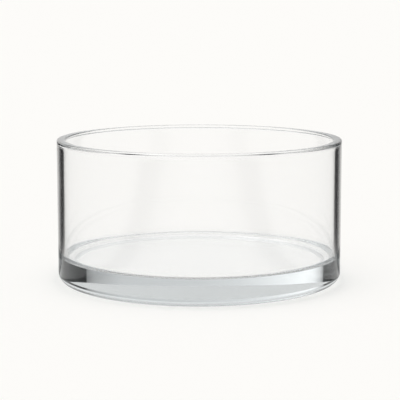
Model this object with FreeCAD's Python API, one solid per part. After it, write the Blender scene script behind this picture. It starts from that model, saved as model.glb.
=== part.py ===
"""Crystallizing dish, 100 x 50 mm: one piece of clear heavy-walled glass.

The dish is a straight-sided round vessel with a flat floor, no spout and no marks.  It is a solid of
revolution: a thick base on a narrow foot ring, with the underside set back inside the ring, a rounded heel,
an upright wall that meets the floor in a small fillet, and a fire-polished rim a little wider than the wall.

Frame: millimetres, +Z up.  The origin is on the axis, in the plane that the foot ring stands on.
"""

import FreeCAD
import Part
import math
import os

# Driving dimensions, in millimetres.
OUTER_DIAMETER = 100.0
HEIGHT = 50.0
WALL = 2.35  # wall thickness at half height
BASE_THICKNESS = 8.9  # from the foot ring's plane to the flat floor inside
HEEL_RADIUS = 3.2  # outer corner between the wall and the underside
FLOOR_FILLET = 2.1  # inner corner between the wall and the floor
RIM_WIDTH = 3.1  # radial width of the fire-polished rim
RIM_DEPTH = 0.8  # height over which the wall swells into the rim
RIM_ROUND = 0.6  # radius of the rim's two edges
FOOT_WIDTH = 2.2  # radial width of the flat ring that the dish stands on
RECESS = 1.4  # how far the underside inside the foot ring is set back
RECESS_SLOPE = 0.8  # radial width of the slope from the foot ring up to the set-back underside

# Worked out from the driving dimensions.
OUTER_RADIUS = OUTER_DIAMETER / 2
BORE_RADIUS = OUTER_RADIUS - WALL
RIM_BORE_RADIUS = OUTER_RADIUS - RIM_WIDTH
FOOT_OUTER = OUTER_RADIUS - HEEL_RADIUS
FOOT_INNER = FOOT_OUTER - FOOT_WIDTH
RECESS_RADIUS = FOOT_INNER - RECESS_SLOPE
RIM_BASE_Z = HEIGHT - RIM_ROUND - RIM_DEPTH


def at(radius, height):
    """The point of the outline at that distance from the axis and that height."""
    return FreeCAD.Vector(radius, 0, height)


def line(start, end):
    return Part.LineSegment(start, end).toShape()


def quarter_round(centre, radius, from_deg, to_deg):
    """An arc of a circle about centre, between two angles measured from the outward direction."""
    def on_circle(angle_deg):
        angle = math.radians(angle_deg)
        return centre + FreeCAD.Vector(radius * math.cos(angle), 0, radius * math.sin(angle))

    middle_deg = (from_deg + to_deg) / 2
    return Part.Arc(on_circle(from_deg), on_circle(middle_deg), on_circle(to_deg)).toShape()


def ease(start, end, lead):
    """An S-curve from start to end that leaves start and reaches end in the direction of lead."""
    curve = Part.BezierCurve()
    curve.setPoles([start, start + lead, end - lead, end])
    return curve.toShape()


def outline():
    """The closed half section, from the underside at the axis round to the floor at the axis."""
    return Part.Wire([
        line(at(0, RECESS), at(RECESS_RADIUS, RECESS)),
        ease(at(RECESS_RADIUS, RECESS), at(FOOT_INNER, 0), FreeCAD.Vector(RECESS_SLOPE / 2, 0, 0)),
        line(at(FOOT_INNER, 0), at(FOOT_OUTER, 0)),
        quarter_round(at(FOOT_OUTER, HEEL_RADIUS), HEEL_RADIUS, -90, 0),
        line(at(OUTER_RADIUS, HEEL_RADIUS), at(OUTER_RADIUS, HEIGHT - RIM_ROUND)),
        quarter_round(at(OUTER_RADIUS - RIM_ROUND, HEIGHT - RIM_ROUND), RIM_ROUND, 0, 90),
        line(at(OUTER_RADIUS - RIM_ROUND, HEIGHT), at(RIM_BORE_RADIUS + RIM_ROUND, HEIGHT)),
        quarter_round(at(RIM_BORE_RADIUS + RIM_ROUND, HEIGHT - RIM_ROUND), RIM_ROUND, 90, 180),
        ease(at(RIM_BORE_RADIUS, HEIGHT - RIM_ROUND), at(BORE_RADIUS, RIM_BASE_Z),
             FreeCAD.Vector(0, 0, -RIM_DEPTH / 2)),
        line(at(BORE_RADIUS, RIM_BASE_Z), at(BORE_RADIUS, BASE_THICKNESS + FLOOR_FILLET)),
        quarter_round(at(BORE_RADIUS - FLOOR_FILLET, BASE_THICKNESS + FLOOR_FILLET), FLOOR_FILLET, 0, -90),
        line(at(BORE_RADIUS - FLOOR_FILLET, BASE_THICKNESS), at(0, BASE_THICKNESS)),
        line(at(0, BASE_THICKNESS), at(0, RECESS)),
    ])


def dish():
    """The whole vessel: the half section turned once about the axis."""
    return Part.Face(outline()).revolve(FreeCAD.Vector(0, 0, 0), FreeCAD.Vector(0, 0, 1), 360)


os.makedirs("parts", exist_ok=True)
glass = dish()
glass.exportStep("parts/dish.step")
print("dish: valid", glass.isValid(), "volume", round(glass.Volume), "mm3")
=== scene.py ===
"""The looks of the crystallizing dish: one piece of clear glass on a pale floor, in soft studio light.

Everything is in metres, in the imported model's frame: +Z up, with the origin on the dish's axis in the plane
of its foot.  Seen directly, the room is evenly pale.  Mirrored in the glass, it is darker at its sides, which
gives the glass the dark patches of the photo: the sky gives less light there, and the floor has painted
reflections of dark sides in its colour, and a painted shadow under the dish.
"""

import math

import bmesh
import bpy
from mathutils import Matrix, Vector

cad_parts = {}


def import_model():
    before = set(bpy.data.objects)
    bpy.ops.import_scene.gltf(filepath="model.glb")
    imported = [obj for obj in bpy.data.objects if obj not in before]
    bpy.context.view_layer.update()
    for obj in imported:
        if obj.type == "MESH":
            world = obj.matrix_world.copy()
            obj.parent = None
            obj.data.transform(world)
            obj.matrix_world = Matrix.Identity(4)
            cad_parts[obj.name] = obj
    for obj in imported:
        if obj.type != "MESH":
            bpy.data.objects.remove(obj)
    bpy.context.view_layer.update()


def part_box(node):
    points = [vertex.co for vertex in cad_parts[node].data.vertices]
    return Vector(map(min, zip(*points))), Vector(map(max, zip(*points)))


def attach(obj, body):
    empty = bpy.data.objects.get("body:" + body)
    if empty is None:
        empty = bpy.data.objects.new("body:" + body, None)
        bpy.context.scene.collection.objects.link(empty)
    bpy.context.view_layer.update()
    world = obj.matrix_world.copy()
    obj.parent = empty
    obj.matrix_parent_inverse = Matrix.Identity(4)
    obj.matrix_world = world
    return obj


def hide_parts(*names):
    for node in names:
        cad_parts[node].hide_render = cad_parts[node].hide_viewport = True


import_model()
LOW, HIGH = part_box("dish")
RADIUS = (HIGH.x - LOW.x) / 2
HEIGHT = HIGH.z - LOW.z

# The glass's outline, as the CAD model has it.
WALL = 0.00235  # at half height
BASE = 0.0089  # from the foot's plane to the floor inside
HEEL = 0.0032  # radius of the outer corner between the wall and the foot
FILLET = 0.0021  # radius of the inner corner between the wall and the floor
RIM_WIDTH = 0.0031  # radial
RIM_DEPTH = 0.0008  # height over which the wall swells into the rim
RIM_ROUND = 0.0006  # radius of the rim's two edges
FOOT_WIDTH = 0.0022  # radial width of the ring that the dish stands on
RECESS = 0.0014  # how far the underside inside the foot is set back
RECESS_SLOPE = 0.0008  # radial width of the slope up to it

# How finely the outline is divided.
SEGMENTS = 480  # round the axis
LONG_RUN, FLOOR_RUN, FOOT_RUN = 24, 12, 4  # steps along the straight stretches
HEEL_STEPS, FILLET_STEPS, RIM_STEPS, EASE_STEPS = 20, 16, 10, 12  # round the curves
SAME_POINT = 1e-6  # points of the outline that are nearer to each other count as one

# Glass.
GLASS_IOR = 1.474
GLASS_TINT = (0.0, 0.16, 0.24, 1)
GLASS_DENSITY = 3.2  # of the tint, per metre of glass
WAVE_SIZE, WAVE_HEIGHT, WAVE_DETAIL = 0.012, 0.00001, 1.0  # slow unevenness of the surface
SMEAR_SIZE, SMEAR_ROUGHNESS, SMEAR_DETAIL = 0.02, 0.02, 4.0  # patches that are a little less polished
SMEAR_FROM, SMEAR_FULL = 0.5, 0.8  # the noise at which a patch begins, and at which it is full

# Camera.
CAMERA_REACH = 10.0  # distance to the axis, in outer radii
CAMERA_RISE = 2.053  # height above the floor, in outer radii
CAMERA_PITCH = 8.50  # degrees below the horizon
CAMERA_LENS, CAMERA_SENSOR = 128.4, 36  # mm
CAMERA_NEAR, CAMERA_FAR = 0.01, 200  # where its sight begins and ends
CAMERA_ASIDE = 0.005  # to the right of the axis, in outer radii

# Light, as it is seen directly.
BACKDROP = (0.973, 0.967, 0.954)
FLOOR_TONE = (0.95, 0.945, 0.933)
FLOOR_RADIUS, FLOOR_CORNERS = 60.0, 96
FLOOR_GAP = 0.00003  # between the floor and the foot, so that their faces don't coincide
SUN_STRENGTH = 0.25
SUN_SPREAD = 50  # degrees across
SUN_WAY = (0.8, 0.3, -1.0)

# Light, as it is mirrored in the glass: bright behind the dish and in front of it, and dark at the sides. The
# sky's light is dimmer there, and the floor has it as painted reflection and painted shadow in its colour.
# The colour painted into the floor for painted reflections of dark sides and the painted shadow under the
# dish.
PAINTED_DARK = (0.012, 0.012, 0.013)
SKY_LOW, SKY_HIGH = 20, 50  # degrees above the horizon between which the dark sides fade out
SKY_STOPS = (  # degrees to the right, or left below 0, and how bright the sky is there, the backdrop being 1
    (-90, 0.6), (-78, 0.45), (-70, 0.01), (-46.2, 0.01), (-45.7, 0.4), (-43, 0.86), (-38, 1.3), (-32, 1.4),
    (-22, 1.2), (-10, 0.95), (0, 0.84), (20, 0.77), (28, 0.6), (32, 0.52), (34, 0.43), (36.7, 0.28),
    (37.3, 0.01), (66, 0.01), (76, 0.45), (90, 0.6))
SKY_FRONT_LEVEL = 0.35  # in front of the dish the sky is no darker than this
SKY_FRONT = 0.2  # the forward part of a unit direction from which that holds in full
PAINTED_REFLECTION_STOPS = (  # painted reflection: degrees to either side, and how dark the floor's colour is painted there where it is seen mirrored in the glass, from 0 to 1
    (0, 0.13), (7, 0.22), (13, 0.32), (18, 0.45), (22, 0.7), (25, 0.9), (28, 1.0), (37, 1.0), (44, 0.4),
    (52, 0.3), (90, 0.3))
PAINTED_REFLECTION_SHARE = 0.8  # how much of that painted darkness the floor has close to the dish
PAINTED_REFLECTION_NEAR, PAINTED_REFLECTION_FAR = 0.9, 2.4  # outer radii from the axis between which it rises to all of it
PAINTED_SHADOW = 0.45  # painted shadow: how dark the floor's colour is painted under the dish, where it is seen mirrored in the glass
PAINTED_SHADOW_NEAR, PAINTED_SHADOW_FAR = 1.0, 1.12  # outer radii from the axis between which that fades out

# Light paths, for which the glass needs more bounces than Blender's defaults.
ALL_BOUNCES, GLASS_BOUNCES, FLOOR_BOUNCES = 40, 32, 6


def arc(centre, radius, from_deg, to_deg, steps):
    """Points of an arc about centre in the (radius, height) plane, both ends included."""
    turns = [math.radians(from_deg + (to_deg - from_deg) * i / steps) for i in range(steps + 1)]
    return [(centre[0] + radius * math.cos(t), centre[1] + radius * math.sin(t)) for t in turns]


def straight(start, end, steps):
    """Points from start to end, both ends included."""
    return [(start[0] + (end[0] - start[0]) * i / steps, start[1] + (end[1] - start[1]) * i / steps)
            for i in range(steps + 1)]


def ease(start, end, lead, steps):
    """Points of an S-curve that leaves start and reaches end in the direction of lead, both included."""
    points = []
    for i in range(steps + 1):
        t = i / steps
        first, last = 3 * t * (1 - t) ** 2, 3 * t * t * (1 - t)
        points.append(tuple(start[k] * (1 - t) ** 3 + (start[k] + lead[k]) * first
                            + (end[k] - lead[k]) * last + end[k] * t**3 for k in (0, 1)))
    return points


def outline():
    """Half section from the underside at the axis, up the outside, over the rim and down to the floor."""
    foot_out = RADIUS - HEEL
    foot_in = foot_out - FOOT_WIDTH
    recess_out = foot_in - RECESS_SLOPE
    bore = RADIUS - WALL
    rim_bore = RADIUS - RIM_WIDTH
    rim_low = HEIGHT - RIM_ROUND
    rim_foot = rim_low - RIM_DEPTH
    points = straight((0, RECESS), (recess_out, RECESS), LONG_RUN)
    points += ease((recess_out, RECESS), (foot_in, 0), (RECESS_SLOPE / 2, 0), EASE_STEPS)
    points += straight((foot_in, 0), (foot_out, 0), FOOT_RUN)
    points += arc((foot_out, HEEL), HEEL, -90, 0, HEEL_STEPS)
    points += straight((RADIUS, HEEL), (RADIUS, rim_low), LONG_RUN)
    points += arc((RADIUS - RIM_ROUND, rim_low), RIM_ROUND, 0, 90, RIM_STEPS)
    points += arc((rim_bore + RIM_ROUND, rim_low), RIM_ROUND, 90, 180, RIM_STEPS)
    points += ease((rim_bore, rim_low), (bore, rim_foot), (0, -RIM_DEPTH / 2), EASE_STEPS)
    points += straight((bore, rim_foot), (bore, BASE + FILLET), LONG_RUN)
    points += arc((bore - FILLET, BASE + FILLET), FILLET, 0, -90, FILLET_STEPS)
    points += straight((bore - FILLET, BASE), (0, BASE), FLOOR_RUN)
    clean = [points[0]]
    for point in points[1:]:
        if math.dist(point, clean[-1]) > SAME_POINT:
            clean.append(point)
    return clean


def turned(name, points):
    """A closed body of revolution from an outline that starts and ends on the axis."""
    mesh = bpy.data.meshes.new(name)
    maker = bmesh.new()
    rings = []
    for radius, height in points:
        if radius < SAME_POINT:
            rings.append([maker.verts.new((0, 0, height))])
            continue
        turns = [math.tau * i / SEGMENTS for i in range(SEGMENTS)]
        rings.append([maker.verts.new((radius * math.cos(t), radius * math.sin(t), height)) for t in turns])
    for inner, outer in zip(rings, rings[1:]):
        for i in range(SEGMENTS):
            around = ((inner, i), (inner, i + 1), (outer, i + 1), (outer, i))
            corners = [ring[k % len(ring)] for ring, k in around]
            maker.faces.new(list(dict.fromkeys(corners)))  # a triangle at the axis
    bmesh.ops.recalc_face_normals(maker, faces=maker.faces)
    for face in maker.faces:
        face.smooth = True
    maker.to_mesh(mesh)
    maker.free()
    piece = bpy.data.objects.new(name, mesh)
    bpy.context.scene.collection.objects.link(piece)
    return piece


def math_node(tree, operation, *values):
    """The result of an operation on numbers or other nodes' outputs."""
    node = tree.nodes.new("ShaderNodeMath")
    node.operation = operation
    for socket, value in zip(node.inputs, values):
        if isinstance(value, (int, float)):
            socket.default_value = value
        else:
            tree.links.new(value, socket)
    return node.outputs[0]


def ramp(tree, value, low, high, start, end):
    """A smooth change from start to end as value goes from low to high."""
    node = tree.nodes.new("ShaderNodeMapRange")
    node.interpolation_type = "SMOOTHSTEP"
    tree.links.new(value, node.inputs["Value"])
    for name, number in (("From Min", low), ("From Max", high), ("To Min", start), ("To Max", end)):
        node.inputs[name].default_value = number
    return node.outputs["Result"]


def mix_colour(tree, share, first, second):
    """The first colour, and the given share of the second."""
    node = tree.nodes.new("ShaderNodeMix")
    node.data_type = "RGBA"
    tree.links.new(share, node.inputs[0])
    for socket, value in ((node.inputs[6], first), (node.inputs[7], second)):
        if isinstance(value, tuple):
            socket.default_value = (*value, 1)
        else:
            tree.links.new(value, socket)
    return node.outputs[2]


def noise(tree, place, size, detail):
    """Smooth unevenness whose patches are about that many metres across."""
    node = tree.nodes.new("ShaderNodeTexNoise")
    tree.links.new(place, node.inputs["Vector"])
    node.inputs["Scale"].default_value = 1 / size
    node.inputs["Detail"].default_value = detail
    return node.outputs["Fac"]


def mirrored(tree):
    """1 for what is seen mirrored in or on the glass, through one wall of it at the most, else 0."""
    path = tree.nodes.new("ShaderNodeLightPath")
    # Depths are whole numbers, so each limit lies between two of them.
    bounced = math_node(tree, "GREATER_THAN", path.outputs["Glossy Depth"], 0.5)
    one_wall = math_node(tree, "LESS_THAN", path.outputs["Transmission Depth"], 2.5)
    unscattered = math_node(tree, "LESS_THAN", path.outputs["Diffuse Depth"], 0.5)
    return math_node(tree, "MULTIPLY", math_node(tree, "MULTIPLY", bounced, one_wall), unscattered)


def by_side(tree, place, start, stops):
    """A level by the angle to the side, counted from straight behind or in front, and the axes of place.

    The angle starts from start metres to either side of the axis, and what is nearer counts as straight on.
    """
    parts = tree.nodes.new("ShaderNodeSeparateXYZ")
    tree.links.new(place, parts.inputs[0])
    aside = math_node(tree, "ABSOLUTE", parts.outputs["X"])
    out = math_node(tree, "MAXIMUM", math_node(tree, "SUBTRACT", aside, start), 0.0)
    signed = math_node(tree, "MULTIPLY", out, math_node(tree, "SIGN", parts.outputs["X"]))
    angle = math_node(tree, "ARCTAN2", signed, math_node(tree, "ABSOLUTE", parts.outputs["Y"]))
    curve = tree.nodes.new("ShaderNodeValToRGB")
    tree.links.new(math_node(tree, "MULTIPLY_ADD", angle, 1 / math.pi, 0.5), curve.inputs[0])
    elements = curve.color_ramp.elements
    while len(elements) < len(stops):
        elements.new(0.5)
    for element, (turn, level) in zip(elements, stops):
        element.position = turn / 180 + 0.5
        element.color = (level, level, level, 1)
    return curve.outputs[0], parts.outputs


def glass():
    """Clear glass with a faint grey-blue body, slightly uneven and not quite evenly polished."""
    material = bpy.data.materials.new("clear_glass")
    material.use_nodes = True
    tree = material.node_tree
    shader = tree.nodes["Principled BSDF"]
    shader.inputs["Base Color"].default_value = (1, 1, 1, 1)
    shader.inputs["IOR"].default_value = GLASS_IOR
    shader.inputs["Transmission Weight"].default_value = 1.0
    place = tree.nodes.new("ShaderNodeTexCoord").outputs["Object"]
    smears = noise(tree, place, SMEAR_SIZE, SMEAR_DETAIL)
    roughness = ramp(tree, smears, SMEAR_FROM, SMEAR_FULL, 0.0, SMEAR_ROUGHNESS)
    tree.links.new(roughness, shader.inputs["Roughness"])
    bump = tree.nodes.new("ShaderNodeBump")
    bump.inputs["Distance"].default_value = WAVE_HEIGHT
    tree.links.new(noise(tree, place, WAVE_SIZE, WAVE_DETAIL), bump.inputs["Height"])
    tree.links.new(bump.outputs["Normal"], shader.inputs["Normal"])
    tint = tree.nodes.new("ShaderNodeVolumeAbsorption")
    tint.inputs["Color"].default_value = GLASS_TINT
    tint.inputs["Density"].default_value = GLASS_DENSITY
    tree.links.new(tint.outputs["Volume"], tree.nodes["Material Output"].inputs["Volume"])
    return material


def floor():
    """The floor, evenly pale as seen directly; where it is seen mirrored in the glass, its colour has painted
    reflections of dark sides and a painted shadow under the dish.
    """
    mesh = bpy.data.meshes.new("floor")
    maker = bmesh.new()
    bmesh.ops.create_circle(maker, cap_ends=True, segments=FLOOR_CORNERS, radius=FLOOR_RADIUS)
    maker.to_mesh(mesh)
    maker.free()
    piece = bpy.data.objects.new("floor", mesh)
    piece.location = (0, 0, LOW.z - FLOOR_GAP)
    bpy.context.scene.collection.objects.link(piece)
    material = bpy.data.materials.new("floor")
    material.use_nodes = True
    tree = material.node_tree
    shader = tree.nodes["Principled BSDF"]
    shader.inputs["Roughness"].default_value = 1.0
    shader.inputs["Specular IOR Level"].default_value = 0.0
    place = tree.nodes.new("ShaderNodeNewGeometry").outputs["Position"]
    reach = tree.nodes.new("ShaderNodeVectorMath")
    reach.operation = "LENGTH"
    tree.links.new(place, reach.inputs[0])
    near, away = PAINTED_REFLECTION_NEAR * RADIUS, PAINTED_REFLECTION_FAR * RADIUS
    by_reach = ramp(tree, reach.outputs["Value"], near, away, PAINTED_REFLECTION_SHARE, 1.0)
    # The stops run outwards from the middle, so the other side takes them in reverse.
    both_sides = [(-turn, level) for turn, level in PAINTED_REFLECTION_STOPS[:0:-1]] + list(PAINTED_REFLECTION_STOPS)
    by_angle, _ = by_side(tree, place, RADIUS, both_sides)
    # Painted shadow: the floor's colour darkens close under the dish.
    under = ramp(tree, reach.outputs["Value"], PAINTED_SHADOW_NEAR * RADIUS, PAINTED_SHADOW_FAR * RADIUS, PAINTED_SHADOW, 0.0)
    # Painted reflection of dark sides, or the painted shadow under the dish, whichever is darker.
    painted_dark_level = math_node(tree, "MAXIMUM", math_node(tree, "MULTIPLY", by_reach, by_angle), under)
    # Painted only where the floor is seen mirrored in the glass, and mixed into the floor's colour.
    share = math_node(tree, "MULTIPLY", mirrored(tree), painted_dark_level)
    tree.links.new(mix_colour(tree, share, FLOOR_TONE, PAINTED_DARK), shader.inputs["Base Color"])
    mesh.materials.append(material)


def world():
    """The sky, which is evenly pale except where it is mirrored in the glass."""
    sky = bpy.data.worlds.new("studio")
    bpy.context.scene.world = sky
    sky.use_nodes = True
    tree = sky.node_tree
    background = tree.nodes["Background"]
    way = tree.nodes.new("ShaderNodeTexCoord").outputs["Generated"]
    level, axes = by_side(tree, way, 0.0, SKY_STOPS)
    level = math_node(tree, "MAXIMUM", level, ramp(tree, axes["Y"], -SKY_FRONT, 0.0, SKY_FRONT_LEVEL, 0.0))
    low = ramp(tree, axes["Z"], math.sin(math.radians(SKY_LOW)), math.sin(math.radians(SKY_HIGH)), 1.0, 0.0)
    share = math_node(tree, "MULTIPLY", mirrored(tree), low)
    lit = tree.nodes.new("ShaderNodeVectorMath")
    lit.operation = "MULTIPLY"
    lit.inputs[0].default_value = BACKDROP
    tree.links.new(level, lit.inputs[1])
    studio = mix_colour(tree, share, BACKDROP, lit.outputs["Vector"])
    tree.links.new(studio, background.inputs["Color"])
    background.inputs["Strength"].default_value = 1.0


def key_light():
    """A weak, wide sun from the upper left and in front, for the soft shadow beside the dish."""
    lamp = bpy.data.lights.new("key", "SUN")
    lamp.energy = SUN_STRENGTH
    lamp.angle = math.radians(SUN_SPREAD)
    light = bpy.data.objects.new("key", lamp)
    light.rotation_euler = Vector(SUN_WAY).to_track_quat("-Z", "Y").to_euler()
    bpy.context.scene.collection.objects.link(light)


def camera():
    """The photo's view, from a little above the dish."""
    lens = bpy.data.cameras.new("camera")
    lens.lens = CAMERA_LENS
    lens.sensor_width = CAMERA_SENSOR
    lens.clip_start, lens.clip_end = CAMERA_NEAR, CAMERA_FAR
    view = bpy.data.objects.new("camera", lens)
    view.location = (CAMERA_ASIDE * RADIUS, -CAMERA_REACH * RADIUS, CAMERA_RISE * RADIUS)
    view.rotation_euler = (math.radians(90 - CAMERA_PITCH), 0, 0)
    bpy.context.scene.collection.objects.link(view)
    bpy.context.scene.camera = view


camera()
floor()
world()
key_light()
dish = turned("glass_dish", outline())
dish.data.materials.append(glass())
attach(dish, "root")
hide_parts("dish")

bpy.context.scene.view_settings.view_transform = "Standard"
cycles = bpy.context.scene.cycles
cycles.max_bounces = ALL_BOUNCES
cycles.glossy_bounces = GLASS_BOUNCES
cycles.transmission_bounces = GLASS_BOUNCES
cycles.diffuse_bounces = FLOOR_BOUNCES
cycles.blur_glossy = 0
